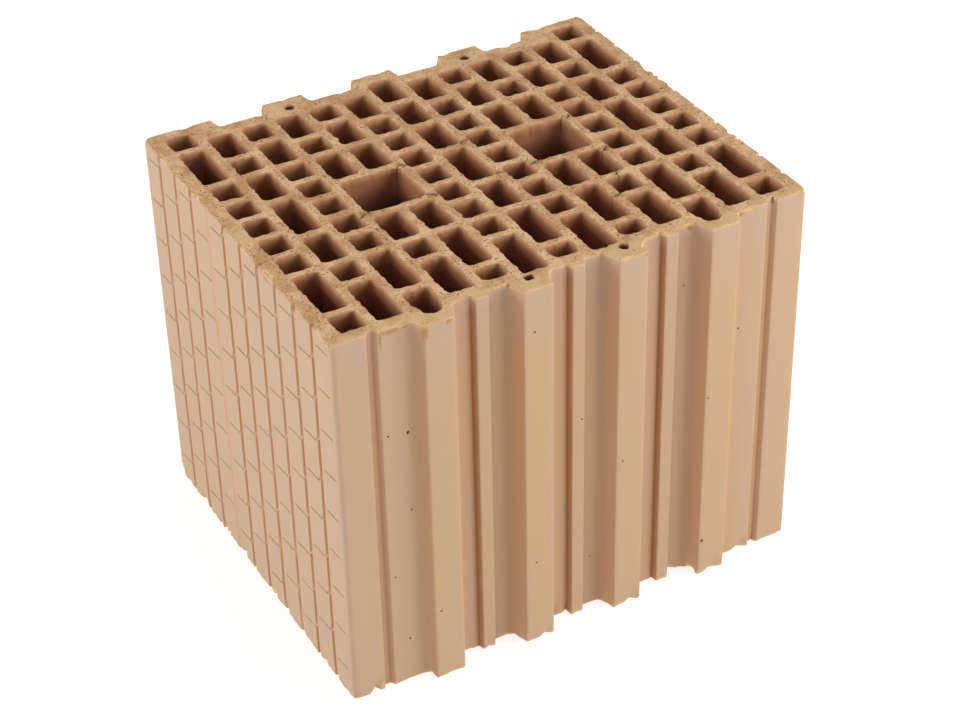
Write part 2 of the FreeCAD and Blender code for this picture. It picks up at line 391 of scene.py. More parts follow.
# Score cuts on one grid of rows and columns: a cut's depth, the lift of its row and the fill of the
# groove at its end follow from the place within the strip. In a groove the rows carry the burr. Strip 1
# lies behind the last groove, and strip 2 starts at it.
def scorePlaster(point, rowOf, levelOf):
    pitch, half = scoreCuts["groovePitch"], scoreCuts["grooveHalfWidth"]
    bodyMiddle = (lowCorner[1] + scoreCuts["tongueHeight"] + highCorner[1]) / 2
    lastGroove = bodyMiddle + (scoreCuts["grooves"] - 1) * pitch / 2
    fromGroove = lastGroove - point[:, 1]
    firstStrip = 2
    strip = np.floor(fromGroove / pitch) + firstStrip
    strip = np.clip(strip, 1, scoreCuts["grooves"] + 1).astype(int)
    along = fromGroove - (strip - firstStrip) * pitch
    inset = highCorner[0] - np.abs(point[:, 0])
    onPlaster = inset < scoreCuts["grooveReach"]
    edge = half + scoreCuts["grooveEdge"]
    afterGroove = (along < edge) & (strip > 1)
    beforeGroove = (along > pitch - edge) & (strip <= scoreCuts["grooves"])
    inGroove = onPlaster & (afterGroove | beforeGroove)
    side = (point[:, 0] > 0).astype(int)
    onRow = (rowOf >= 0)[:, None]
    row, level = np.maximum(rowOf, 0)[:, None], np.maximum(levelOf, 0)
    size = (2, scoreCuts["grooves"] + 3, scoreCuts["rows"])        # sides, strips and one to spare, rows
    strength = rng.uniform(*scoreCuts["strength"], size)
    drop = rng.uniform(-scoreCuts["drop"], scoreCuts["drop"], size)
    burr = rng.uniform(*scoreCuts["burrFill"], size)
    middle = onRow & (levelOf == 1)[:, None]
    scored = onPlaster & onRow & ((row + strip) % 2 == 1)
    start = scoreCuts["start"]
    reach = smoothStep(start, start + scoreCuts["startFade"], along) * ~inGroove
    besideCorner = strip > scoreCuts["grooves"]
    reach = reach * (1 - besideCorner * smoothStep(*scoreCuts["cornerEnd"], along))
    cut = (scored & middle) * reach * strength[side, strip, row]
    rise = scoreCuts["rise"] * (np.clip(along, half, pitch - half) - pitch / 2)
    lift = (onPlaster & onRow) * rise + scored * drop[side, strip, row]
    lift = np.where(inGroove & onRow, np.array(scoreCuts["burrLevels"])[level][:, None], lift)
    behind = np.where(afterGroove, strip - 1, strip)
    ending = inGroove & middle & ((row + behind) % 2 == 1)
    fill = ending * burr[side, behind, row]
    return cut, lift, fill, inset * inGroove, onPlaster


# Pits on the front head face: the grid point nearest to each is pushed in, and its six neighbours move
# onto a ring round it. Only the pushed points are marked as pits.
def pushPits(skin, normal):
    facing = -normal[:, 1] > facePits["facing"]
    facing = facing & np.roll(facing, 1) & np.roll(facing, -1)
    across, depth, radius = np.array(facePits["places"]).T
    midway = skin[len(skin) // 2, :, 0]
    column = np.abs(np.where(facing, midway, np.inf) - across[:, None]).argmin(axis=1)
    row = np.abs(bedHeight - skin[:, column, 2] - depth).argmin(axis=0)
    middle = skin[row, column].copy()
    middle[:, 2] = bedHeight - depth
    for turn, (down, along) in enumerate([(0, 1), (-1, 1), (-1, 0), (0, -1), (1, -1), (1, 0)]):
        angle = turn * math.pi / 3
        away = np.array([math.cos(angle), 0, math.sin(angle)])
        skin[row + down, column + along] = middle + radius[:, None] * away
    skin[row, column] = middle + np.array([0, facePits["sinking"], 0]) * radius[:, None]
    pit = np.zeros(skin.shape[:2])
    pit[row, column] = 1
    return pit


# Ring by ring, a face point is its outline point moved along the normal: in by the arris's own shift,
# its waves and its chips, out by a burr and in by a score cut. The painted shade, dark and warm, follows
# from the same shifts.
def makeOuterFaces():
    point = outlineColumns()
    following, foregoing = loopNeighbours(np.array([len(point)]))
    normal = outOfClay(point, following, foregoing)
    rowDepth = scoreCuts["firstDepth"] + scoreCuts["rowStep"] * np.arange(scoreCuts["rows"])
    levels = np.array(scoreCuts["levels"])
    topDepth, footDepth = outerFaces["topDepth"], bedHeight + np.array(outerFaces["footDepth"])
    depth = np.concatenate([topDepth, (rowDepth[:, None] + levels).ravel(), footDepth])
    unscored = np.full(len(topDepth), -1)
    rowOf = np.concatenate([unscored, np.repeat(np.arange(len(rowDepth)), len(levels)), unscored])
    levelOf = np.concatenate([unscored, np.tile(np.arange(len(levels)), len(rowDepth)), unscored])
    cut, lift, fill, inset, onPlaster = scorePlaster(point, rowOf, levelOf)
    depth = depth[:, None] - lift
    shift = np.zeros(depth.shape)
    rings = len(topDepth)
    shift[:rings] = np.array(outerFaces["topShift"])[:, None]
    shift[-rings:] = np.array(outerFaces["footShift"])[:, None]
    chipSize, chipDrop = np.array(outerFaces["chipSize"]), np.array(outerFaces["chipDrop"])
    for top in (True, False):
        near = np.arange(rings) if top else -1 - np.arange(rings)
        waves = outerFaces["arrisWaves"]
        rim = sum(size * rimWaves(following, foregoing, rounds) for size, rounds in waves)
        chip = rimWaves(following, foregoing, outerFaces["chipRounds"]) - outerFaces["chipFrom"]
        chip = np.clip(chip, 0, outerFaces["chipMost"])
        wear = 1 if top else outerFaces["footWear"]
        shift[near[:-1]] -= wear * (np.abs(rim) + chipSize[:, None] * chip)
        depth[near[1:]] += (1 if top else -wear) * chipDrop[:, None] * chip
    shift = np.maximum(shift - outerFaces["faceInset"], -arcRoom(point, normal, following, foregoing))
    shift += fill * inset - scoreCuts["depth"] * cut
    place = point[None] + normal[None] * shift[:, :, None]
    skin = np.concatenate([place, (bedHeight - depth)[:, :, None]], axis=2)
    # Painted shade, dark and warm, by how far a point lies in a groove or recess and how far it faces
    # sideways
    shade, groove, recess = [grooveShade(point, normal, following, foregoing, outerFaces[key])
                             for key in ("grooveShade", "grooveWarmShade", "recessWarmShade")]
    onRib = ribFlanks(point, normal)
    shade = shade + onRib * (outerFaces["ribShade"] - shade)
    groove = groove + onRib * (outerFaces["ribWarmShade"] - groove)
    clear = smoothStep(*outerFaces["arrisClear"], depth) * np.where(fill > 0, outerFaces["burrClear"], 1)
    # Dark painted shade in grooves, on the ribs' flanks, in score cuts and on the ring below the bed
    hollowShade = np.maximum(clear * shade * ~onPlaster, scoreCuts["shade"] * cut)
    arris = 1                 # ring below the bed's own
    hollowShade[arris] = outerFaces["arrisShade"]
    flank = outerFaces["flankWarmShade"] * np.abs(normal[:, 0])
    onHead = np.maximum(np.maximum(recess, flank), groove)
    warmShade = clear * np.where(onPlaster, smoothStep(*outerFaces["plasterWarmShade"], inset), onHead)
    warmShade = np.maximum(warmShade, cut)
    pit = pushPits(skin, normal)
    return skin, normal, ringTriangles(len(skin), following), hollowShade, warmShade, pit


outerSkin, outerNormal, outerTriangles, outerHollowShade, outerWarmShade, outerPit = makeOuterFaces()
print("outer faces", outerSkin.shape, len(outerTriangles), "triangles")


# Pits in the ground bed: a jittered grid of places, kept where they lie well inside the clay, each a
# hexagon round a sunk middle
bedPits = {
    "spacing": 3.6,
    "jitter": 1.6,
    "kept": 0.42,
    "radius": (0.28, 1.0),
    "edge": (0.7, 1.2),       # a corner's distance as a share of the radius
    "sinking": 1.1,           # depth as a share of the radius
    "margin": 0.25,
    "calmBand": 16.0,         # smoother band along the front head face, where few pits show
    "keptInBand": 0.1,
    "mergeWithin": 1e-5,      # points of the bed's mesh closer than this are one
}


# Distance into the clay from the nearest rim point, along that point's normal
def insideClay(spot, rimPoint, rimNormal):
    nearest = np.linalg.norm(spot[:, None] - rimPoint, axis=2).argmin(axis=1)
    return np.einsum("ij,ij->i", rimPoint[nearest] - spot, rimNormal[nearest])


# Each crack is a row of sunk middles between two edges, where it lies inside the clay. Places are given
# as along, across and depth, each with its share of shade.
def makeCracks(rimPoint, rimNormal):
    rows = []
    for halfWidth, path in cracks["paths"]:
        path = np.array(path, dtype=float)
        walked = np.concatenate([[0], np.cumsum(np.linalg.norm(np.diff(path, axis=0), axis=1))])
        stop = np.arange(0, walked[-1], cracks["step"])
        middle = np.column_stack([np.interp(stop, walked, path[:, axis]) for axis in (0, 1)])
        middle += rng.normal(0, cracks["sway"], middle.shape)
        along = np.gradient(middle, axis=0)
        across = np.column_stack([-along[:, 1], along[:, 0]])
        across *= halfWidth / np.linalg.norm(across, axis=1)[:, None]
        rows.append(np.stack([middle - across, middle, middle + across], axis=1))
    place = np.concatenate(rows)
    inside = insideClay(place.reshape(-1, 2), rimPoint, rimNormal).reshape(-1, 3).min(axis=1)
    place = place[inside > cracks["clearance"]]
    depth = np.broadcast_to([0, cracks["depth"], 0], place.shape[:2])
    shade = np.broadcast_to([cracks["edgeShade"], 1, cracks["edgeShade"]], place.shape[:2])
    return np.column_stack([place.reshape(-1, 2), depth.ravel()]), shade.ravel()


# Places as along, across and depth, with the corners of all pits first and then their middles, which
# alone are shaded. Squaring a random share makes small pits the common ones.
def makeBedPits(rimPoint, rimNormal, crackPlace):
    across = np.arange(lowCorner[0], highCorner[0], bedPits["spacing"])
    along = np.arange(lowCorner[1], highCorner[1], bedPits["spacing"])
    spot = np.stack(np.meshgrid(across, along), axis=-1).reshape(-1, 2)
    spot = spot + rng.uniform(-bedPits["jitter"], bedPits["jitter"], spot.shape)
    smallest, largest = bedPits["radius"]
    radius = smallest + (largest - smallest) * rng.random(len(spot)) ** 2
    inBand = spot[:, 1] < lowCorner[1] + bedPits["calmBand"]
    chosen = rng.random(len(spot)) < np.where(inBand, bedPits["keptInBand"], bedPits["kept"])
    spot, radius = spot[chosen], radius[chosen]
    fromCrack = np.linalg.norm(spot[:, None] - crackPlace, axis=2).min(axis=1)
    inside = insideClay(spot, rimPoint, rimNormal)
    good = np.minimum(inside, fromCrack) > radius * bedPits["edge"][1] + bedPits["margin"]
    spot, radius = spot[good], radius[good]
    angle = np.arange(6) * math.pi / 3 + rng.uniform(0, math.pi, len(spot))[:, None]
    reach = radius[:, None] * rng.uniform(*bedPits["edge"], angle.shape)
    edge = spot[:, None] + reach[:, :, None] * np.stack([np.cos(angle), np.sin(angle)], axis=-1)
    around = np.column_stack([edge.reshape(-1, 2), np.zeros(edge.size // 2)])
    middle = np.column_stack([spot, radius * bedPits["sinking"]])
    return np.vstack([around, middle]), np.concatenate([np.zeros(len(around)), np.ones(len(middle))])


# Bed face: a triangle mesh between the rims and the pits. Triangles whose corners all lie on one rim
# and run against its walk are in an opening or outside, so they go.
def makeBedFace(rimPoint, rimSizes, spot):
    following, _ = loopNeighbours(rimSizes)
    edge = np.column_stack([np.arange(len(following)), following])
    flat = [Vector(place) for place in np.vstack([rimPoint, spot]).tolist()]
    wholeHull = 0
    made = delaunay_2d_cdt(flat, edge.tolist(), [], wholeHull, bedPits["mergeWithin"], True)
    places, _, faces, origins, _, _ = made
    crossing = [tuple(place) for place, origin in zip(places, origins) if not origin]
    if crossing:
        print("bed face has crossing rims at", crossing)
    source = np.array([origin[0] if origin else -1 for origin in origins])
    triangle = source[np.array(faces)]
    first = np.cumsum(rimSizes) - rimSizes
    loop = np.concatenate([np.repeat(np.arange(len(rimSizes)), rimSizes), np.full(len(spot), -1)])
    onLoop = loop[triangle]
    oneRim = (onLoop[:, 0] >= 0) & (onLoop[:, 0] == onLoop[:, 1]) & (onLoop[:, 1] == onLoop[:, 2])
    size = rimSizes[np.maximum(onLoop[:, 0], 0)]
    position = triangle - first[np.maximum(onLoop, 0)]
    step = (np.roll(position, -1, axis=1) - position) % size[:, None]
    return triangle[~oneRim | (step.sum(axis=1) == size)]


rimSizes = np.concatenate([cellSizes, [outerSkin.shape[1]]])
upperRim = np.vstack([cellSkin[0, :, :2], outerSkin[0, :, :2]])
lowerRim = np.vstack([cellSkin[-1, :, :2], outerSkin[-1, :, :2]])
rimNormal = np.vstack([cellNormal, outerNormal])
crackPlace, crackShade = makeCracks(upperRim, rimNormal)
pitPlace, pitShade = makeBedPits(upperRim, rimNormal, crackPlace[:, :2])
bedPlace = np.vstack([crackPlace, pitPlace])
bedHollowShade = np.concatenate([crackShade, pitShade])
upperBed = makeBedFace(upperRim, rimSizes, bedPlace[:, :2])
lowerBed = makeBedFace(lowerRim, rimSizes, np.empty((0, 2)))
print("bed faces", len(upperBed), "and", len(lowerBed), "triangles,", int(pitShade.sum()), "pits")


# Colours are given as sRGB hex and used as linear values: a twelfth or so of the smallest values, and
# about the 2.4th power of the others
def hexLinear(code):
    value = [int(code[k:k + 2], 16) / 255 for k in (1, 3, 5)]
    return [v / 12.92 if v <= 0.04045 else ((v + 0.055) / 1.055) ** 2.4 for v in value] + [1.0]


# Adds one node: settings are its properties, and an input is a value, a node's output or a node, whose
# first output in use it takes. In a colour Mix, 0 is the share, and 6 and 7 are the two colours.
def addNode(tree, kind, inputs=None, **settings):
    node = tree.nodes.new("ShaderNode" + kind)
    for name, value in settings.items():
        setattr(node, name, value)
    for socket, value in (inputs or {}).items():
        if isinstance(value, bpy.types.Node):
            value = next(output for output in value.outputs if output.enabled)
        if isinstance(value, bpy.types.NodeSocket):
            tree.links.new(value, node.inputs[socket])
        else:
            node.inputs[socket].default_value = value
    return node


# An empty material and its node tree
def newMaterial(name):
    material = bpy.data.materials.new(name)
    material.use_nodes = True
    material.node_tree.nodes.clear()
    return material, material.node_tree


# Every finish of the clay is matt, with a weak gloss. Its grit is finer than a third of a millimetre,
# and each finish draws it as coarse as it needs to show.
firedClay = {"Roughness": 0.92, "IOR": 1.45, "Specular IOR Level": 0.25}
noiseMean = 0.5

# Fired clay, ground flat: matt and sandy, with a coarse grain, brown blemishes, pores darkened with
# painted shade and a calmer, paler band along the front
groundClay = {
    "light": "#DDB78E",
    "dark": "#B98D63",
    "blemish": "#9C6E48",
    # dark painted shade in the pores, and in the bed's pits and cracks
    "pore": "#6A360F",
    "band": "#D2AE82",
    "grain": {"Scale": 1 / (1.3 * mm), "Detail": 4, "Roughness": 0.6},
    "blotches": {"Scale": 1 / (14 * mm), "Detail": 2, "Roughness": 0.6},
    "toneRange": {"From Min": 0.82, "From Max": 1.18},        # of grain and blotches added up
    "blemishes": {"Scale": 1 / (3.4 * mm), "Detail": 3, "Roughness": 0.6},
    "blemishRange": {"From Min": 0.58, "From Max": 0.7},
    "blemishShare": 0.3,
    "pores": {"Scale": 1 / (2.4 * mm)},
    "poreRange": {"From Min": 0.27, "From Max": 0.12},        # from a pore's edge to its middle
    "poreRarity": 0.72,       # share of the places that have no pore
    "bandEdges": (17, 9),     # distances from the front where the band starts and is full
    "bandShare": 0.6,
    "bandCalm": 0.75,         # share of the roughness that the band lacks
    "bump": {"Strength": 0.8, "Distance": 0.5 * mm},
}


# Colour: dark to light by grain plus blotches, then the band, the blemishes, and the painted shade of
# the pores, pits and cracks, one over the other by their shares. Height: the grain less the pores.
def makeGroundClay():
    material, tree = newMaterial("fired clay, ground")
    tones = ("light", "dark", "blemish", "pore", "band")
    light, dark, blemishTone, poreShadeTone, bandTone = [hexLinear(groundClay[key]) for key in tones]
    place = addNode(tree, "TexCoord").outputs["Object"]
    across = addNode(tree, "SeparateXYZ", {0: place}).outputs["Y"]
    bandStart, bandFull = [(lowCorner[1] + edge) * mm for edge in groundClay["bandEdges"]]
    band = addNode(tree, "MapRange", {"Value": across, "From Min": bandStart, "From Max": bandFull})
    calm = addNode(tree, "Math", {0: band, 1: groundClay["bandCalm"]}, operation="MULTIPLY")
    rough = addNode(tree, "Math", {0: 1, 1: calm}, operation="SUBTRACT")
    grain = addNode(tree, "TexNoise", {"Vector": place, **groundClay["grain"]})
    blotches = addNode(tree, "TexNoise", {"Vector": place, **groundClay["blotches"]})
    tone = addNode(tree, "Math", {0: grain, 1: blotches}, operation="ADD")
    tone = addNode(tree, "MapRange", {"Value": tone, **groundClay["toneRange"]})
    colour = addNode(tree, "Mix", {0: tone, 6: dark, 7: light}, data_type="RGBA")
    bandShare = addNode(tree, "Math", {0: band, 1: groundClay["bandShare"]}, operation="MULTIPLY")
    colour = addNode(tree, "Mix", {0: bandShare, 6: colour, 7: bandTone}, data_type="RGBA")
    blemish = addNode(tree, "TexNoise", {"Vector": place, **groundClay["blemishes"]})
    blemish = addNode(tree, "MapRange", {"Value": blemish, **groundClay["blemishRange"]})
    blemish = addNode(tree, "Math", {0: blemish, 1: rough}, operation="MULTIPLY")
    blemish = addNode(tree, "Math", {0: blemish, 1: groundClay["blemishShare"]}, operation="MULTIPLY")
    colour = addNode(tree, "Mix", {0: blemish, 6: colour, 7: blemishTone}, data_type="RGBA")
    pores = addNode(tree, "TexVoronoi", {"Vector": place, **groundClay["pores"]}).outputs
    kept = addNode(tree, "SeparateColor", {0: pores["Color"]}).outputs["Red"]
    kept = addNode(tree, "Math", {0: kept, 1: groundClay["poreRarity"]}, operation="GREATER_THAN")
    pore = addNode(tree, "MapRange", {"Value": pores["Distance"], **groundClay["poreRange"]})
    pore = addNode(tree, "Math", {0: pore, 1: kept}, operation="MULTIPLY")
    pore = addNode(tree, "Math", {0: pore, 1: rough}, operation="MULTIPLY")
    hollowShade = addNode(tree, "Attribute", attribute_name="hollowShade").outputs["Fac"]
    pore = addNode(tree, "Math", {0: pore, 1: hollowShade}, operation="MAXIMUM")
    colour = addNode(tree, "Mix", {0: pore, 6: colour, 7: poreShadeTone}, data_type="RGBA")
    height = addNode(tree, "Math", {0: grain, 1: rough}, operation="MULTIPLY")
    height = addNode(tree, "Math", {0: height, 1: pore}, operation="SUBTRACT")
    bump = addNode(tree, "Bump", {"Height": height, **groundClay["bump"]})
    shader = addNode(tree, "BsdfPrincipled", {"Base Color": colour, "Normal": bump, **firedClay})
    addNode(tree, "OutputMaterial", {"Surface": shader})
    return material


# Fired clay, drawn through the die: smoother, pink on the plaster faces, streaked with ochre on the head
# faces, with a warm orange painted shade in the grooves and recesses, a dark painted shade in hollows
# and pits, and ochre stains below the front arris
drawnClay = {
    "plaster": "#B89C81",
    "pink": "#BB9C83",
    "ochre": "#BE9C75",
    # warm orange painted shade for grooves, recesses, score cuts and flanks turned sideways
    "warmShade": "#C4854E",
    "stain": "#AC8050",
    # dark painted shade for grooves, the ribs' flanks, score cuts, the arris ring and pits
    "hollowShade": "#552412",
    "streaks": {"Scale": 1 / (8 * mm), "Detail": 4, "Roughness": 0.6},
    "streakStretch": (1, 1, 8 / 260),         # a streak is 8 mm wide and 260 mm long
    "streakRange": {"From Min": 0.3, "From Max": 0.65},
    "ochreDepth": (4, 50),    # depths below the top bed where the ochre starts and is full
    "tongueEdges": (7, 3),    # distances from the front where the tongues' ochre starts and is full
    "ochreShare": 0.75,       # and its share elsewhere on the head faces
    # a pit's core takes the dark painted shade
    "pitRange": {"From Min": 0.12, "From Max": 0.4},    # from a pit's edge to its dark core
    "grain": {"Scale": 1 / (1.1 * mm), "Detail": 2, "Roughness": 0.6},
    "bump": {"Strength": 0.25, "Distance": 0.2 * mm},
}
ochreStains = {
    "places": [  # along the front and below the top bed, and half their sizes
        (-115, 2.8, 7.0, 1.7), (-121.4, 6.0, 1.0, 5.0), (-98.4, 4.5, 1.5, 5.0), (-84.6, 2.4, 1.6, 1.8),
        (73, 3.0, 2.0, 1.6), (104, 2.4, 4.0, 1.1), (40, 2.0, 2.4, 1.0),
    ],
    "reach": 40.0,            # half the thickness of the stained zone, from the front
    "ragged": {"Scale": 1 / (1.6 * mm), "Detail": 3, "Roughness": 0.6},
    "raggedness": 2.4,
    "edge": {"From Min": 1.35, "From Max": 0.45},       # distances where a stain starts and is full
    "share": 0.95,
}


# Distance from a stain's middle in shares of its size, the least over all stains, plus noise about its
# mean, turned to a share of stain
def addStains(tree, place):
    nearest = ochreStains["reach"]
    for along, depth, width, height in ochreStains["places"]:
        middle = (along * mm, lowCorner[1] * mm, (bedHeight - depth) * mm)
        size = (width * mm, ochreStains["reach"] * mm, height * mm)
        away = addNode(tree, "VectorMath", {0: place, 1: middle}, operation="SUBTRACT")
        away = addNode(tree, "VectorMath", {0: away, 1: size}, operation="DIVIDE")
        away = addNode(tree, "VectorMath", {0: away}, operation="LENGTH")
        nearest = addNode(tree, "Math", {0: away, 1: nearest}, operation="MINIMUM")
    ragged = addNode(tree, "TexNoise", {"Vector": place, **ochreStains["ragged"]})
    ragged = addNode(tree, "Math", {0: ragged, 1: noiseMean}, operation="SUBTRACT")
    ragged = addNode(tree, "Math", {0: ragged, 1: ochreStains["raggedness"]}, operation="MULTIPLY")
    nearest = addNode(tree, "Math", {0: nearest, 1: ragged}, operation="ADD")
    stain = addNode(tree, "MapRange", {"Value": nearest, **ochreStains["edge"]})
    return addNode(tree, "Math", {0: stain, 1: ochreStains["share"]}, operation="MULTIPLY")


# Colour: plaster faces plain, head faces pink to ochre by streaks times depth times place on the
# tongues, then the warm painted shade of grooves, recesses and sideways flanks, the stains, and the dark
# painted shade of hollows and pits, one over the other by their shares. Height: the grain.
def makeDrawnClay():
    material, tree = newMaterial("fired clay, die drawn")
    tones = ("plaster", "pink", "ochre", "warmShade", "stain", "hollowShade")
    plaster, pink, ochre, warmShadeTone, stainTone, hollowShadeTone = [hexLinear(drawnClay[key]) for key in tones]
    place = addNode(tree, "TexCoord").outputs["Object"]
    axis = addNode(tree, "SeparateXYZ", {0: place}).outputs
    tongueStart, tongueFull = [(lowCorner[1] + edge) * mm for edge in drawnClay["tongueEdges"]]
    tongue = {"Value": axis["Y"], "From Min": tongueStart, "From Max": tongueFull}
    onTongue = addNode(tree, "MapRange", tongue)
    onTongue = addNode(tree, "Math", {0: onTongue, 1: drawnClay["ochreShare"]}, operation="MAXIMUM")
    pinkEnd, ochreFull = [(bedHeight - depth) * mm for depth in drawnClay["ochreDepth"]]
    below = addNode(tree, "MapRange", {"Value": axis["Z"], "From Min": pinkEnd, "From Max": ochreFull})
    streak = addNode(tree, "Mapping", {"Vector": place, "Scale": drawnClay["streakStretch"]})
    streak = addNode(tree, "TexNoise", {"Vector": streak, **drawnClay["streaks"]})
    streak = addNode(tree, "MapRange", {"Value": streak, **drawnClay["streakRange"]})
    streak = addNode(tree, "Math", {0: streak, 1: onTongue}, operation="MULTIPLY")
    streak = addNode(tree, "Math", {0: streak, 1: below}, operation="MULTIPLY")
    head = addNode(tree, "Mix", {0: streak, 6: pink, 7: ochre}, data_type="RGBA")
    across = addNode(tree, "Math", {0: axis["X"]}, operation="ABSOLUTE")
    plasterStart = (highCorner[0] - outerFaces["plasterDepth"]) * mm
    onHead = addNode(tree, "Math", {0: across, 1: plasterStart}, operation="LESS_THAN")
    colour = addNode(tree, "Mix", {0: onHead, 6: plaster, 7: head}, data_type="RGBA")
    warmShade = addNode(tree, "Attribute", attribute_name="warmShade").outputs["Fac"]
    colour = addNode(tree, "Mix", {0: warmShade, 6: colour, 7: warmShadeTone}, data_type="RGBA")
    colour = addNode(tree, "Mix", {0: addStains(tree, place), 6: colour, 7: stainTone}, data_type="RGBA")
    hollowShade = addNode(tree, "Attribute", attribute_name="hollowShade").outputs["Fac"]
    pit = addNode(tree, "Attribute", attribute_name="pit").outputs["Fac"]
    pit = addNode(tree, "MapRange", {"Value": pit, **drawnClay["pitRange"]})
    hollowShade = addNode(tree, "Math", {0: hollowShade, 1: pit}, operation="MAXIMUM")
    colour = addNode(tree, "Mix", {0: hollowShade, 6: colour, 7: hollowShadeTone}, data_type="RGBA")
    grain = addNode(tree, "TexNoise", {"Vector": place, **drawnClay["grain"]})
    bump = addNode(tree, "Bump", {"Height": grain, **drawnClay["bump"]})
    shader = addNode(tree, "BsdfPrincipled", {"Base Color": colour, "Normal": bump, **firedClay})
    addNode(tree, "OutputMaterial", {"Surface": shader})
    return material


# Fired clay on the cell walls: dragged by the die's cores, with painted shade a little way in from the
# beds, a lighter, redder tone of painted light below that, against the light's fall down the cells, and
# painted shade far down
cellClay = {
    "light": "#C0926C",
    "dark": "#B2825F",
    # By depth into a cell: the throat's and the core's tones are painted shade, the deep tone is painted
    # light between them, and the crack tone is painted shade at the cracks' mouths and in the small
    # round holes
    "throatShade": "#A16E4B",
    "deep": "#C48466",
    "coreShade": "#74472F",
    "crackAndVentShade": "#4A2A1C",
    "throatShadeRange": {"From Min": 0.3 * mm, "From Max": 4.5 * mm},        # depths from the nearer bed
    "deepLightRange": {"From Min": 5 * mm, "From Max": 20 * mm},
    "coreShadeRange": {"From Min": 10 * mm, "From Max": 30 * mm},
    "unevenness": 3 * mm,
    "drag": {"Scale": 1 / (3 * mm), "Detail": 3, "Roughness": 0.6},
    "dragStretch": (1, 1, 3 / 40),            # a drag mark is 3 mm wide and 40 mm long
    "grain": {"Scale": 1 / (1.6 * mm), "Detail": 3, "Roughness": 0.6},
    "bump": {"Strength": 0.25, "Distance": 0.3 * mm},
}


# Colour: dark to light by the drag marks, then the throat's painted shade, the deep tone's painted light
# and the core's painted shade by the depth from the nearer bed plus noise about its mean, then the
# painted shade at the cracks' mouths and in the small round holes. Height: drag marks plus grain.
def makeCellClay():
    material, tree = newMaterial("fired clay, cell wall")
    tones = ("light", "dark", "throatShade", "deep", "coreShade", "crackAndVentShade")
    light, dark, throatShadeTone, deepLightTone, coreShadeTone, crackAndVentShadeTone = [hexLinear(cellClay[key]) for key in tones]
    place = addNode(tree, "TexCoord").outputs["Object"]
    drag = addNode(tree, "Mapping", {"Vector": place, "Scale": cellClay["dragStretch"]})
    drag = addNode(tree, "TexNoise", {"Vector": drag, **cellClay["drag"]})
    colour = addNode(tree, "Mix", {0: drag, 6: dark, 7: light}, data_type="RGBA")
    above = addNode(tree, "SeparateXYZ", {0: place}).outputs["Z"]
    below = addNode(tree, "Math", {0: bedHeight * mm, 1: above}, operation="SUBTRACT")
    depth = addNode(tree, "Math", {0: below, 1: above}, operation="MINIMUM")
    grain = addNode(tree, "TexNoise", {"Vector": place, **cellClay["grain"]})
    uneven = addNode(tree, "Math", {0: grain, 1: noiseMean}, operation="SUBTRACT")
    uneven = addNode(tree, "Math", {0: uneven, 1: cellClay["unevenness"]}, operation="MULTIPLY")
    depth = addNode(tree, "Math", {0: depth, 1: uneven}, operation="ADD")
    throatShade = addNode(tree, "MapRange", {"Value": depth, **cellClay["throatShadeRange"]})
    colour = addNode(tree, "Mix", {0: throatShade, 6: colour, 7: throatShadeTone}, data_type="RGBA")
    deep = addNode(tree, "MapRange", {"Value": depth, **cellClay["deepLightRange"]})
    colour = addNode(tree, "Mix", {0: deep, 6: colour, 7: deepLightTone}, data_type="RGBA")
    coreShade = addNode(tree, "MapRange", {"Value": depth, **cellClay["coreShadeRange"]})
    colour = addNode(tree, "Mix", {0: coreShade, 6: colour, 7: coreShadeTone}, data_type="RGBA")
    hollowShade = addNode(tree, "Attribute", attribute_name="hollowShade").outputs["Fac"]
    colour = addNode(tree, "Mix", {0: hollowShade, 6: colour, 7: crackAndVentShadeTone}, data_type="RGBA")
    height = addNode(tree, "Math", {0: drag, 1: grain}, operation="ADD")
    bump = addNode(tree, "Bump", {"Height": height, **cellClay["bump"]})
    shader = addNode(tree, "BsdfPrincipled", {"Base Color": colour, "Normal": bump, **firedClay})
    addNode(tree, "OutputMaterial", {"Surface": shader})
    return material


# The whole block's skin
wholeBlock = {
    "arrisBands": 2,          # bands of the outer faces next to each bed that are worn like the bed
    "sharpAngle": 40,
}


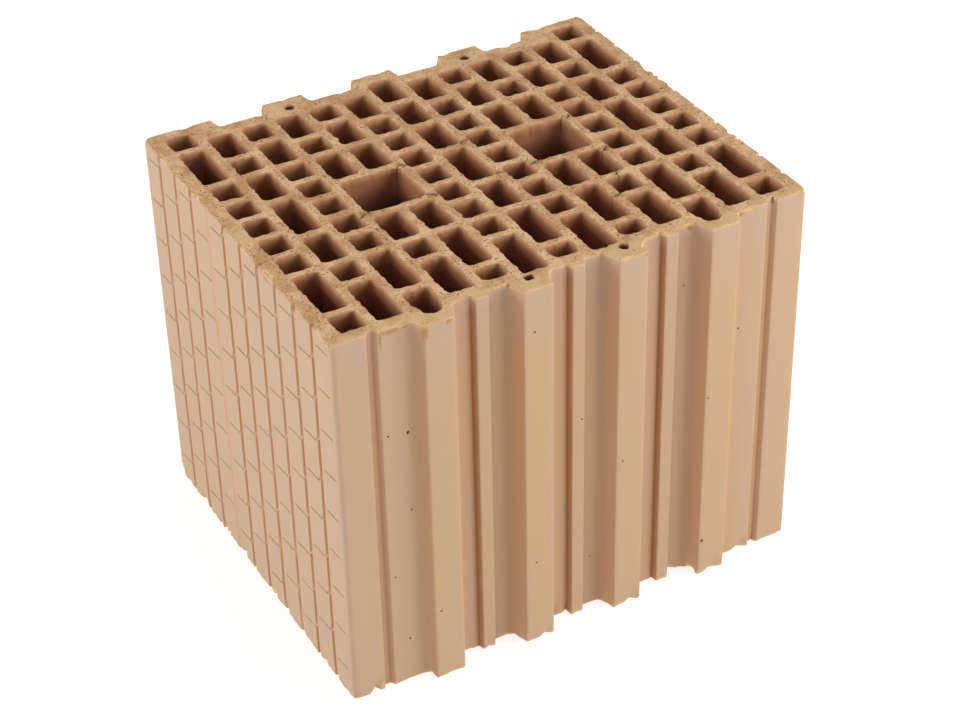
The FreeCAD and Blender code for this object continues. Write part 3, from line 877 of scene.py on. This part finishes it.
# One closed mesh: cell walls, outer faces and the two beds share their rim points. A point's number is
# its place in the cell walls, then the outer faces, then the bed's cracks and pits.
def makeBlock():
    cells, outer = cellSkin.reshape(-1, 3), outerSkin.reshape(-1, 3)
    marks = np.column_stack([bedPlace[:, :2], bedHeight - bedPlace[:, 2]])
    vertex = np.vstack([cells, outer, marks]) * mm
    rimCount, columnCount = cellSkin.shape[1], outerSkin.shape[1]
    upperIndex = np.concatenate([np.arange(rimCount), len(cells) + np.arange(columnCount),
                                 len(cells) + len(outer) + np.arange(len(marks))])
    lowerIndex = np.concatenate([len(cells) - rimCount + np.arange(rimCount),
                                 len(cells) + len(outer) - columnCount + np.arange(columnCount)])
    ground, drawn, cell = range(3)        # the finishes' numbers
    parts = [(cellTriangles, cell), (outerTriangles + len(cells), drawn), (upperIndex[upperBed], ground),
             (lowerIndex[lowerBed][:, ::-1], ground)]
    triangle = np.vstack([part for part, _ in parts])
    finish = np.concatenate([np.full(len(part), slot) for part, slot in parts])
    bands = len(outerSkin) - 1
    band = np.tile(np.repeat(np.arange(bands), columnCount), 2)        # of each step's two triangles
    onArris = np.minimum(band, bands - 1 - band) < wholeBlock["arrisBands"]
    finish[len(cellTriangles):len(cellTriangles) + len(band)] = np.where(onArris, ground, drawn)
    mesh = bpy.data.meshes.new("fired_clay_block")
    mesh.from_pydata(vertex, [], triangle)
    for makeMaterial in (makeGroundClay, makeDrawnClay, makeCellClay):
        mesh.materials.append(makeMaterial())
    mesh.polygons.foreach_set("material_index", finish.astype(np.int32))
    mesh.polygons.foreach_set("use_smooth", np.ones(len(triangle), dtype=bool))
    hollowShade = np.concatenate([cellHollowShade.ravel(), outerHollowShade.ravel(), bedHollowShade])
    warmShade = np.concatenate([np.zeros(len(cells)), outerWarmShade.ravel(), np.zeros(len(marks))])
    pit = np.concatenate([np.zeros(len(cells)), outerPit.ravel(), np.zeros(len(marks))])
    for name, value in (("hollowShade", hollowShade), ("warmShade", warmShade), ("pit", pit)):
        mesh.attributes.new(name, "FLOAT", "POINT").data.foreach_set("value", value.astype(np.float32))
    mesh.set_sharp_from_angle(angle=math.radians(wholeBlock["sharpAngle"]))
    mesh.update()
    block = bpy.data.objects.new("fired_clay_block", mesh)
    bpy.context.scene.collection.objects.link(block)
    print("block", len(vertex), "vertices,", len(triangle), "triangles")
    return block


block = makeBlock()
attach(block, "root")
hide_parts("clay_block")

# Studio, in metres and degrees: a pale floor, soft light and the photograph's view
studio = {
    "floor": "#A3A2A1",
    "floorFinish": {"Roughness": 0.92, "IOR": 1.49, "Specular IOR Level": 0.25},
    "floorSize": 12.0,
    "floorBelow": 0.0003,
    "sensor": 36.0,           # millimetres, as the lens
    "lens": 88.56,
    "eye": (-0.5562, -1.0278, 0.9464),
    "aim": (0.0005, -0.0044, 0.1149),
    "roll": -1.35,
    "skyTone": "#FFFFFF",
    "sky": 0.06,
    "floorGlow": {"Emission Color": hexLinear("#FFFFFF"), "Emission Strength": 0.75},   # a light table's
    "lightAim": (0, 0, 0.12),
    "softboxes": [  # azimuth, elevation, distance, size, and power in watts
        (-105, 20, 1.7, 0.8, 16),
        (-65, 20, 1.7, 0.8, 6.5),
        (35, 25, 1.7, 0.8, 15),
        (65, 20, 1.7, 0.8, 13),
        (170, 12, 1.7, 0.8, 7),
        (0, 90, 2.2, 1.2, 14.4),
    ],
}


# Each softbox stands on a sphere round the block and looks at its middle
def makeStudio():
    half, below = studio["floorSize"] / 2, studio["floorBelow"]
    corner = [(-half, -half, -below), (half, -half, -below), (half, half, -below), (-half, half, -below)]
    mesh = bpy.data.meshes.new("studio_floor")
    mesh.from_pydata(corner, [], [(0, 1, 2, 3)])
    material, tree = newMaterial("frosted acrylic light table")
    inputs = {"Base Color": hexLinear(studio["floor"]), **studio["floorFinish"], **studio["floorGlow"]}
    shader = addNode(tree, "BsdfPrincipled", inputs)
    addNode(tree, "OutputMaterial", {"Surface": shader})
    mesh.materials.append(material)
    floor = bpy.data.objects.new("studio_floor", mesh)
    bpy.context.scene.collection.objects.link(floor)
    world = bpy.data.worlds.new("studio_sky")
    world.use_nodes = True
    background = world.node_tree.nodes["Background"].inputs
    background["Color"].default_value = hexLinear(studio["skyTone"])
    background["Strength"].default_value = studio["sky"]
    bpy.context.scene.world = world
    for number, (azimuth, elevation, distance, size, power) in enumerate(studio["softboxes"]):
        light = bpy.data.lights.new(f"softbox_{number}", "AREA")
        light.size = size
        light.energy = power
        box = bpy.data.objects.new(f"softbox_{number}", light)
        around, above = math.radians(azimuth), math.radians(elevation)
        level = Vector((math.sin(around), -math.cos(around), 0))
        away = level * math.cos(above) + Vector((0, 0, math.sin(above)))
        box.location = Vector(studio["lightAim"]) + away * distance
        box.rotation_euler = (-away).to_track_quat("-Z", "Y").to_euler()
        bpy.context.scene.collection.objects.link(box)
    camera = bpy.data.objects.new("camera", bpy.data.cameras.new("camera"))
    camera.data.lens = studio["lens"]
    camera.data.sensor_width = studio["sensor"]
    toAim = Vector(studio["aim"]) - Vector(studio["eye"])
    roll = Matrix.Rotation(math.radians(studio["roll"]), 3, "Z")
    camera.location = studio["eye"]
    camera.rotation_euler = (toAim.to_track_quat("-Z", "Y").to_matrix() @ roll).to_euler()
    bpy.context.scene.collection.objects.link(camera)
    bpy.context.scene.camera = camera
    bpy.context.scene.view_settings.view_transform = "Standard"


makeStudio()
print("studio ready")
